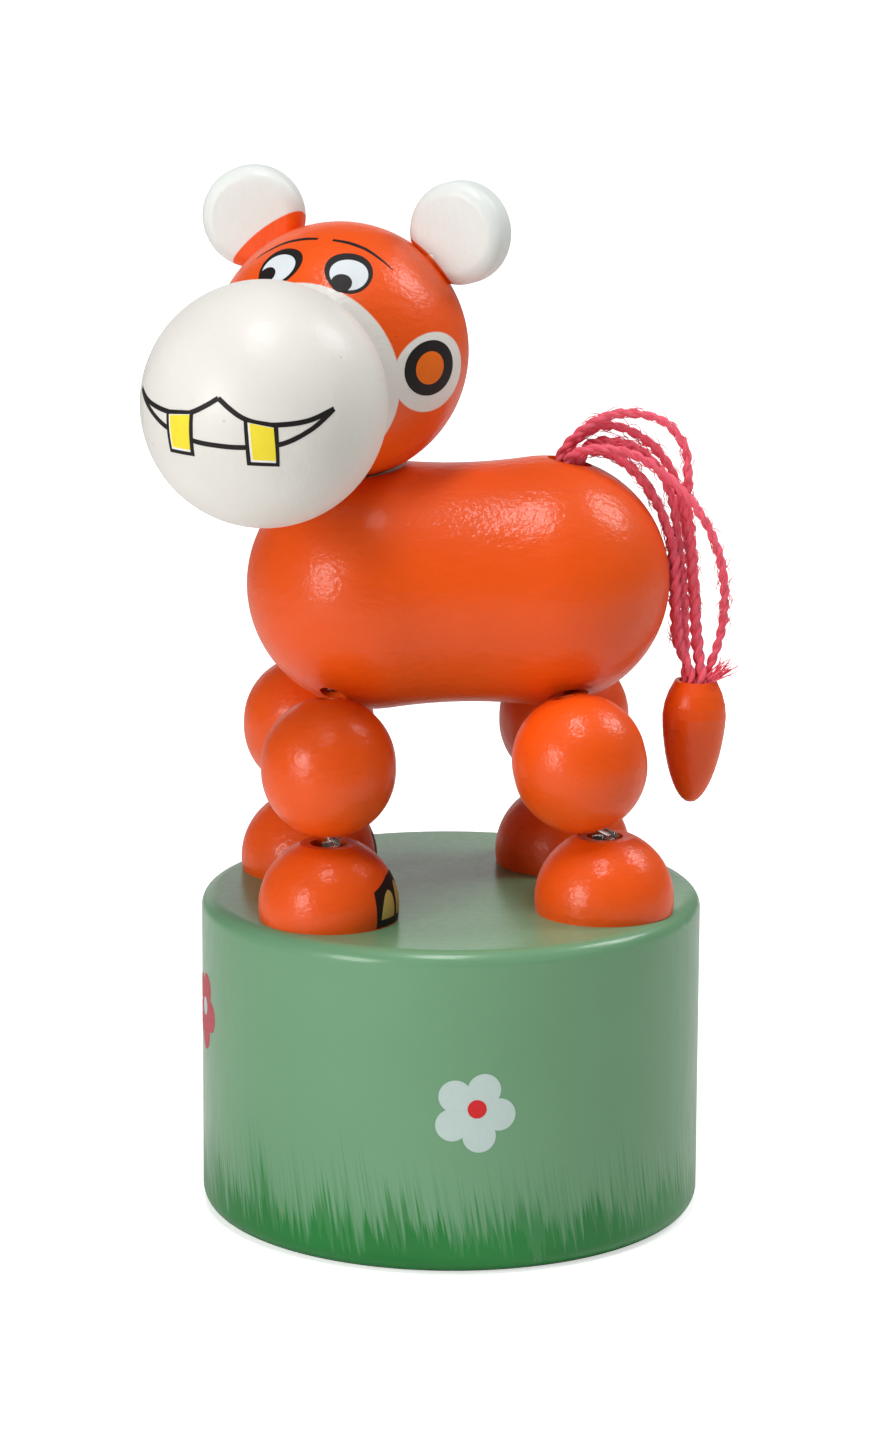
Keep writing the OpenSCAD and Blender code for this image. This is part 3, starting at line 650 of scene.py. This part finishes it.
def lineLoop(leg):  # slack line that shows in the gap between a foot and its bead
    x, y = footAt(leg)
    top, (bendLow, bendHigh) = linePlan["top"], linePlan["bend"]
    points = linePlan["loop"] + [(*linePlan["beadHole"][leg], rise) for rise in linePlan["beadRise"]]
    line = [(p + Vector((x, y, top))) * mm for p in smoothRoute(points, linePlan["perSpan"])]
    piece = tubePiece("lineLoop_" + leg, [line], linePlan["loopD"], linePlan["loopSides"], nylon)
    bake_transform(piece)


baseLines()
for leg in legs:
    lineLoop(leg)

strungPlan = {  # the line inside the animal, mm and degrees, as in the solids
    "beadZ": 47.5, "beadHalf": 6.7, "cant": 8, "pulled": 0.2, "inset": 0.8,
    "leaning": "rear_left", "tilt": 13, "shift": 2.6, "drop": 0.2,
    "seatR": 7.14, "neckMeet": (-11.2, 0, 63.7), "rumpMeet": (11.6, 0, 63.7), "apart": 0.75,
    "hipStops": (0, 0.5, 0.85),  # shares of the way to where the bores meet
    "neckBend": 1, "seatTop": 74.07, "headLow": 74.63, "headMiddle": 80,
    "shy": 0.8,  # how far a line's end keeps back from a hole's mouth
}
knotPlan = {  # mm; the knot's curve runs over these shares of half a turn
    "z": 6.1, "r": 0.98, "line": 0.84, "start": 0.1, "sweep": 1.8, "steps": 24, "deep": 1.6,
    "above": (0, 0, 1.3), "end": (0.3, 0, -1.4),
}


def strungLine(name, routes, thick, node, body):  # clear line through the wood, a tube along each route in mm
    lines = [[p * mm for p in smoothRoute(route, linePlan["perSpan"])] for route in routes]
    piece = tubePiece(name, lines, thick, linePlan["loopSides"], nylon)
    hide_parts(node)
    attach(piece, body)


def seatAt(leg):  # centre of the hollow over a bead
    x, y = footAt(leg)
    shift = strungPlan["shift"] if leg == strungPlan["leaning"] else 0
    return Vector((x - shift, y, strungPlan["beadZ"]))


def thighRoute(leg):  # along the hole of a canted bead
    leans = leg == strungPlan["leaning"]
    turn = (Matrix.Rotation(radians(-strungPlan["tilt"] if leans else 0), 3, "Y")
            @ Matrix.Rotation(radians(legSide(leg) * strungPlan["cant"]), 3, "X"))
    middle = seatAt(leg) - Vector((0, 0, strungPlan["drop"] if leans else 0))
    half, aside = strungPlan["beadHalf"], -legSide(leg) * strungPlan["pulled"]
    return [middle + turn @ Vector((0, aside, z))
            for z in (strungPlan["inset"] - half, 0, half - strungPlan["shy"])]


def hipRoute(leg, meet):  # from over the bead's hollow to where the bores meet
    seat = seatAt(leg)
    mouth = seat + (meet - seat).normalized() * (strungPlan["seatR"] + strungPlan["shy"])
    return [mouth.lerp(meet, t) for t in strungPlan["hipStops"]]


def knotRoute(leg):  # a loose overhand knot that stops the line under the button
    size, deep = knotPlan["r"] / 3, knotPlan["deep"]  # the curve reaches 3 out from its middle
    route = [Vector(knotPlan["above"])]
    for k in range(knotPlan["steps"] + 1):
        t = pi * (knotPlan["start"] + knotPlan["sweep"] * k / knotPlan["steps"])
        route.append(Vector((sin(t) + 2 * sin(2 * t), cos(t) - 2 * cos(2 * t),
                             -deep * sin(3 * t))) * size)
    route.append(Vector(knotPlan["end"]))
    return [Vector((*holeAt(leg), knotPlan["z"])) + p for p in route]


for leg in legs:
    strungLine("thighLine_" + leg, [thighRoute(leg)], linePlan["d"], "thigh_cord_" + leg, "leg_" + leg)
neckRoutes, headRoutes = [], []
for leg in ("front_left", "front_right"):
    turn = Vector(strungPlan["neckMeet"]) + Vector((0, legSide(leg) * strungPlan["apart"], 0))
    neckRoutes.append(hipRoute(leg, turn) + [turn + Vector((0, 0, strungPlan["neckBend"])),
                                             Vector((turn.x, turn.y, strungPlan["seatTop"]))])
    headRoutes.append([Vector((turn.x, turn.y, z))
                       for z in (strungPlan["headLow"], strungPlan["headMiddle"], facePlan["headAt"][2])])
rump = Vector(strungPlan["rumpMeet"])
rumpRoute = hipRoute("rear_left", rump) + [rump] + hipRoute("rear_right", rump)[::-1]
strungLine("frontLines", neckRoutes, linePlan["d"], "front_cords", "torso")
strungLine("rearLine", [rumpRoute], linePlan["d"], "rear_cord", "torso")
strungLine("neckLines", headRoutes, linePlan["d"], "neck_cords", "neck")
strungLine("lineKnots", [knotRoute(leg) for leg in legs], knotPlan["line"], "cord_knots", "button")
print("spring and lines in place")

# Prints: thin skins of ink that lie on the balls and the drum

inkPlan = {"under": -0.03, "layer": 0.02,      # mm, how deep a skin starts and how far each layer stands out
           "sharp": 35}                        # degrees, edges that stay crisp


def printSkin(name, rows, place, layer, material, body, slot, wrap):
    # rows of chart points become one closed thin skin; a row of one point closes a disc
    verts, index = [], []
    for row in rows:
        index.append([len(verts) + k for k in range(len(row))])
        verts += [place(p, layer * inkPlan["layer"]) for p in row]
    outer = []
    for low, high in zip(index, index[1:]):
        for k in range(len(high) if wrap else len(high) - 1):
            n = (k + 1) % len(high)
            if len(low) == 1:
                outer.append((low[0], high[k], high[n]))
            else:
                outer.append((low[k], high[k], high[n], low[n]))
    count = len(verts)
    verts += [place(p, inkPlan["under"]) for row in rows for p in row]
    edges = {edge: True for face in outer for edge in zip(face, face[1:] + face[:1])}
    faces = outer + [tuple(v + count for v in reversed(face)) for face in outer]
    faces += [(b, a, a + count, b + count) for a, b in edges if (b, a) not in edges]
    piece = newMesh(name, verts, faces, material)
    piece.data.set_sharp_from_angle(angle=radians(inkPlan["sharp"]))
    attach(piece, body)


class Ball:  # a ball with the way it faces: chart points are degrees to its left and degrees up
    def __init__(self, at, radius, forward, left, up):
        self.at, self.radius, self.ways = Vector(at), radius, (forward, left, up)

    def place(self, point, liftMm):
        side, up = radians(point[0]), radians(point[1])
        forward, left, upward = self.ways
        way = (forward * cos(side) + left * sin(side)) * cos(up) + upward * sin(up)
        return self.at + way * (self.radius + liftMm * mm)

    def chart(self, point):
        forward, left, upward = self.ways
        out = (point - self.at).normalized()
        side = atan2(out.dot(left), out.dot(forward))
        return degrees(side), degrees(asin(out.dot(upward)))

    def oval(self, centre, half, rings=6, around=48):  # rows of an oval whose half sizes are true degrees
        rows = [[centre]]
        for i in range(1, rings + 1):
            row = []
            for k in range(around):
                angle = 2 * pi * k / around
                up = centre[1] + half[1] * sin(angle) * i / rings
                side = half[0] * cos(angle) * i / rings / cos(radians(up))
                row.append((centre[0] + side, up))
            rows.append(row)
        return rows

    def stroke(self, points, widthsMm, perSpan=8):  # rows of a brush line through chart points
        line = [(p.x, p.y) for p in smoothRoute([(a, b, 0) for a, b in points], perSpan)]
        rows = []
        for i, point in enumerate(line):
            here = self.place(point, 0)
            run = self.place(line[min(i + 1, len(line) - 1)], 0) - self.place(line[max(i - 1, 0)], 0)
            across = (here - self.at).cross(run).normalized()
            t = i / (len(line) - 1) * (len(widthsMm) - 1)
            k = min(int(t), len(widthsMm) - 2)
            width = widthsMm[k] + (widthsMm[k + 1] - widthsMm[k]) * (t - k)
            rows.append([self.chart(here + across * width * mm * s) for s in (-0.5, 0, 0.5)])
        return rows


def quadRows(corners, steps=10):  # rows of a patch; its corners run round from top left
    tl, tr, br, bl = (Vector(c) for c in corners)
    shares = [k / steps for k in range(steps + 1)]
    return [[tuple((tl * (1 - s) + tr * s) * (1 - t) + (bl * (1 - s) + br * s) * t) for s in shares]
            for t in shares]


def mirrored(oval, side):  # an oval's centre and half sizes, left for side 1, right for -1
    (across, up), half = oval
    return (across * side, up), half


headBall = Ball(headAt, facePlan["headR"] * mm, faceForward, faceLeft, faceUp)
muzzleBall = Ball(headAt + (faceForward * facePlan["muzzleReach"] - faceUp * facePlan["muzzleDrop"]) * mm,
                  facePlan["muzzleR"] * mm, faceForward, faceLeft, faceUp)

eyePlan = {  # degrees on the head ball, for the left side unless it says which; widths in mm
    "outline": ((24, 45.7), (10.7, 11.1)), "white": ((24, 44.4), (8.5, 8.2)),
    "pupil": {1: ((19.6, 39.8), (4.6, 4.5)), -1: ((-28.6, 39.8), (4.6, 4.5))},
    "brow": [(8.7, 66.1), (25, 64.3), (39.3, 59.8), (48, 53.2), (53.8, 46.4)],
    "browWidths": (0.34, 0.46, 0.4, 0.28, 0.1),
    "ring": ((64.7, 0), (15.2, 12.3)), "dot": ((63.9, 0.2), (8.5, 7.3)),
}
for side, word in ((1, "Left"), (-1, "Right")):
    outline, white, ring, dot = (headBall.oval(*mirrored(eyePlan[key], side))
                                 for key in ("outline", "white", "ring", "dot"))
    pupil = headBall.oval(*eyePlan["pupil"][side])
    brow = headBall.stroke([(a * side, b) for a, b in eyePlan["brow"]], eyePlan["browWidths"])
    for piece, rows, layer, ink, slot, wrap in (
            ("eyeOutline", outline, 1, blackInk, "orange_paint", True),
            ("eyeWhite", white, 2, eyeWhite, "white_paint", True),
            ("pupil", pupil, 3, blackInk, "orange_paint", True),
            ("brow", brow, 1, blackInk, "orange_paint", False),
            ("cheekRing", ring, 1, blackInk, "orange_paint", True),
            ("cheekDot", dot, 2, cheekOrange, "orange_paint", True)):
        printSkin(piece + word, rows, headBall.place, layer, ink, "head", slot, wrap)

mouthPlan = {  # degrees on the muzzle ball
    "lips": {
        "UpperRight": [(-58.5, 7.6), (-45, 3.6), (-29, 1.7), (-19, 1.9), (-13, 3.7), (-6.5, 7.2), (-0.8, 11)],
        "UpperLeft": [(-0.8, 11), (6, 6), (12, 2.6), (19, 0.8), (27, 0.3), (41, 2), (54.5, 6.8)],
        "Lower": [(-58.5, 7.6), (-41, -1), (-28.6, -6), (-13.4, -9.8), (0, -10.8), (12, -10.7), (28.5, -8.8),
                  (42.2, -2.4), (54.5, 6.8)],
    },
    "lineMm": 0.48,
    "teeth": {"Right": [(-29.4, 2.6), (-13, 4.2), (-13.4, -17.4), (-29, -17.4)],
              "Left": [(11.6, 3), (27.2, 1), (29, -19.6), (13.4, -19.4)]},
    "toothLine": 1.9,
    "toothMargin": {"left": 0.9, "top": 0.3, "right": 0, "bottom": 1.1},  # white round the yellow
}
for word, points in mouthPlan["lips"].items():
    rows = muzzleBall.stroke(points, (mouthPlan["lineMm"], mouthPlan["lineMm"]))
    printSkin("lip" + word, rows, muzzleBall.place, 1, blackInk, "head", "white_paint", False)


def inset(corners, left, top, right, bottom):  # a patch's corners moved in from its four edges, in degrees
    (ax, ay), (bx, by), (cx, cy), (dx, dy) = corners
    return [(ax + left, ay - top), (bx - right, by - top),
            (cx - right, cy + bottom), (dx + left, dy + bottom)]


for word, corners in mouthPlan["teeth"].items():
    line = mouthPlan["toothLine"]
    white = inset(corners, line, line, line, line)
    yellow = inset(corners, **{edge: line + margin for edge, margin in mouthPlan["toothMargin"].items()})
    for piece, patch, layer, ink in (("toothLine", corners, 2, blackInk),
                                     ("toothWhite", white, 3, toothWhite),
                                     ("toothYellow", yellow, 4, toothYellow)):
        printSkin(piece + word, quadRows(patch), muzzleBall.place, layer, ink, "head", "white_paint", False)
print("face printed")

toePlan = {  # mm, and degrees on the ball a foot is cut from
    "ballZ": 33.6, "r": 6.9,
    "facing": {"front_left": -13.5, "rear_left": 62, "front_right": 24, "rear_right": 71},
    "edge": [(-39, 21), (-26, 26), (-13, 30.5), (0, 31.5), (13, 30.5), (26, 26), (39, 21)], "edgeLow": -9,
    "perSpan": 6, "edgeRows": 14,
    "nails": [(-24.5, 9.4, 20), (0, 9.2, 24), (24.5, 9.4, 20)], "nailLow": -2.5,   # middle, half width, top
    "nailRows": 10, "nailHalfSteps": 8,
    "nailRound": 2.4, "nailTip": 0.0004, "nailLean": 0.18,   # outline's power, least square, lean inwards
}


def toes(leg):
    at = Vector((*footAt(leg), toePlan["ballZ"])) * mm
    facing = radians(toePlan["facing"][leg])
    forward = Vector((cos(facing), sin(facing), 0))
    ball = Ball(at, toePlan["r"] * mm, forward, Vector((-forward.y, forward.x, 0)), Vector((0, 0, 1)))
    tops = [(p.x, p.y) for p in smoothRoute([(a, b, 0) for a, b in toePlan["edge"]], toePlan["perSpan"])]
    low, count = toePlan["edgeLow"], toePlan["edgeRows"]
    rows = [[(a, low + (top - low) * k / count) for a, top in tops] for k in range(count + 1)]
    printSkin("toeLine_" + leg, rows, ball.place, 1, blackInk, "foot_" + leg, "orange_paint", False)
    low, count, half = toePlan["nailLow"], toePlan["nailRows"], toePlan["nailHalfSteps"]
    for i, (middle, halfWide, top) in enumerate(toePlan["nails"]):
        rows = []
        for t in (k / count for k in range(count + 1)):
            wide = halfWide * sqrt(max(1 - t ** toePlan["nailRound"], toePlan["nailTip"]))
            tip = middle * (1 - toePlan["nailLean"] * t)
            rows.append([(tip + wide * s / half, low + (top - low) * t) for s in range(-half, half + 1)])
        printSkin("toenail%d_%s" % (i + 1, leg), rows, ball.place, 2, nailCream, "foot_" + leg,
                  "orange_paint", False)


for leg in legs:
    toes(leg)
print("toes printed")

flowerPlan = {  # mm and degrees; a place on the drum is degrees round it and mm up
    "petals": 5, "petalR": 1.62, "ringR": 2.45, "heartR": 1.6, "start": 24,
    "dotR": 0.93, "dotOff": (0.3, 0.35),
    "rings": 5, "petalSteps": 180, "dotSteps": 40,
    "at": [(-91.8, 16.55, "white"), (-175.5, 21.2, "rose"), (92, 16.55, "white"), (4, 21.2, "rose")],
}


def petalReach(angle):  # how far the outline of the petals lies from the middle, mm
    best, ringR, petalR = flowerPlan["heartR"], flowerPlan["ringR"], flowerPlan["petalR"]
    for k in range(flowerPlan["petals"]):
        off = angle - radians(flowerPlan["start"] + 360 / flowerPlan["petals"] * k)
        away = ringR * sin(off)
        if cos(off) > 0 and abs(away) < petalR:
            best = max(best, ringR * cos(off) + sqrt(petalR ** 2 - away ** 2))
    return best


def dotReach(angle):
    return flowerPlan["dotR"]


def rings(middle, reach, around):  # rows from the middle out to a reach for each angle from straight up
    x, y = middle
    shares = [i / flowerPlan["rings"] for i in range(1, flowerPlan["rings"] + 1)]
    angles = [2 * pi * k / around for k in range(around)]
    return [[middle]] + [[(x + reach(a) * share * sin(a), y + reach(a) * share * cos(a)) for a in angles]
                         for share in shares]


def flower(number, azimuth, high, paint):
    radius = drumLook["radius"]

    def onDrum(point, liftMm):  # chart points are mm to the right and mm up from the flower's middle
        angle = radians(azimuth) + point[0] / radius
        out = (radius + liftMm) * mm
        return Vector((cos(angle) * out, sin(angle) * out, (high + point[1]) * mm))

    petal, dot = (petalWhite, dotRed) if paint == "white" else (petalRose, petalWhite)
    printSkin("petals%d" % number, rings((0, 0), petalReach, flowerPlan["petalSteps"]), onDrum, 1, petal,
              "base", "green_paint", True)
    printSkin("flowerDot%d" % number, rings(flowerPlan["dotOff"], dotReach, flowerPlan["dotSteps"]), onDrum,
              2, dot, "base", "green_paint", True)


for i, (azimuth, high, paint) in enumerate(flowerPlan["at"]):
    flower(i + 1, azimuth, high, paint)
print("flowers printed")

# Stage: pale floor, soft studio light, white behind

stagePlan = {
    "floorMm": 6000, "floorCells": 8, "floorColours": ("#F3F3F1", "#F6F6F5"), "mottleMm": 60,
    "glow": (0.6, 1), "glowMm": (90, 500),  # what the camera sees of the floor, from near to far
    "ambient": 0.13, "behind": 0.9, "sweep": (0.88, 0.96),  # light of room and sweep; its edge, as cosines
    "lamps": {  # mm, mm, watts
        "softboxLeft": {"at": (-450, -350, 190), "size": (200, 240), "power": 1.75},
        "softboxTop": {"at": (-55, -180, 630), "size": (150, 300), "power": 2.15},
        "softboxRight": {"at": (410, 90, 475), "size": (180, 230), "power": 1.45},
    },
    "aim": (0, 0, 55),
}
cells = stagePlan["floorCells"]
bpy.ops.mesh.primitive_grid_add(x_subdivisions=cells, y_subdivisions=cells, size=stagePlan["floorMm"] * mm)
floor = bpy.context.object
floor.name = "floor"
# Matt white floor: even and shadowless far off, with the object's soft shadow close by.
floorPaint, tree, shader = newMaterial("matt white studio floor", {
    "Roughness": 0.9, "Specular IOR Level": 0.1, "Emission Color": (1, 1, 1, 1)})
add = partial(addNode, tree)
place = add("TexCoord", take="Object")
mottle = add("TexNoise", {"Scale": perSize(stagePlan["mottleMm"]), "Detail": 2}, {"Vector": place})
first, second = (linear(colour) for colour in stagePlan["floorColours"])
white = add("Mix", {"data_type": "RGBA", 6: first, 7: second}, {0: mottle}, take=2)
seen = add("LightPath", take="Is Camera Ray")
away = add("VectorMath", {"operation": "LENGTH"}, {0: place}, take="Value")
(near, far), (dim, full) = stagePlan["glowMm"], stagePlan["glow"]
spread = add("MapRange", {1: near * mm, 2: far * mm, 3: dim, 4: full}, {0: away})
glow = add("Math", {"operation": "MULTIPLY"}, {0: seen, 1: spread})
plug(tree, shader, {"Base Color": white, "Emission Strength": glow})
floor.data.materials.append(floorPaint)

world = bpy.data.worlds.new("studio")
bpy.context.scene.world = world
world.use_nodes = True
sky = world.node_tree.nodes["Background"]
sky.inputs["Color"].default_value = (1, 1, 1, 1)
add = partial(addNode, world.node_tree)
path = add("LightPath").node.outputs
plain = add("Math", {"operation": "MAXIMUM"}, {0: path["Is Camera Ray"], 1: path["Is Transmission Ray"]})
# the white sweep behind the object is brighter than the rest of the room
way = add("TexCoord", take="Generated")
toSweep = add("VectorMath", {"operation": "DOT_PRODUCT", 1: (0, 1, 0)}, {0: way}, take="Value")
edge, inner = stagePlan["sweep"]
room = add("MapRange", {1: edge, 2: inner, 3: stagePlan["ambient"], 4: stagePlan["behind"]}, {0: toSweep})
strength = add("Math", {"operation": "MAXIMUM"}, {0: room, 1: plain})
plug(world.node_tree, sky, {"Strength": strength})

for name, lamp in stagePlan["lamps"].items():
    data = bpy.data.lights.new(name, "AREA")
    data.shape = "RECTANGLE"
    data.size, data.size_y = (s * mm for s in lamp["size"])
    data.energy = lamp["power"]
    light = bpy.data.objects.new(name, data)
    bpy.context.collection.objects.link(light)
    light.location = Vector(lamp["at"]) * mm
    light.rotation_euler = (Vector(stagePlan["aim"]) - Vector(lamp["at"])).to_track_quat("-Z", "Y").to_euler()

bpy.context.scene.view_settings.view_transform = "Standard"
print("stage lit")
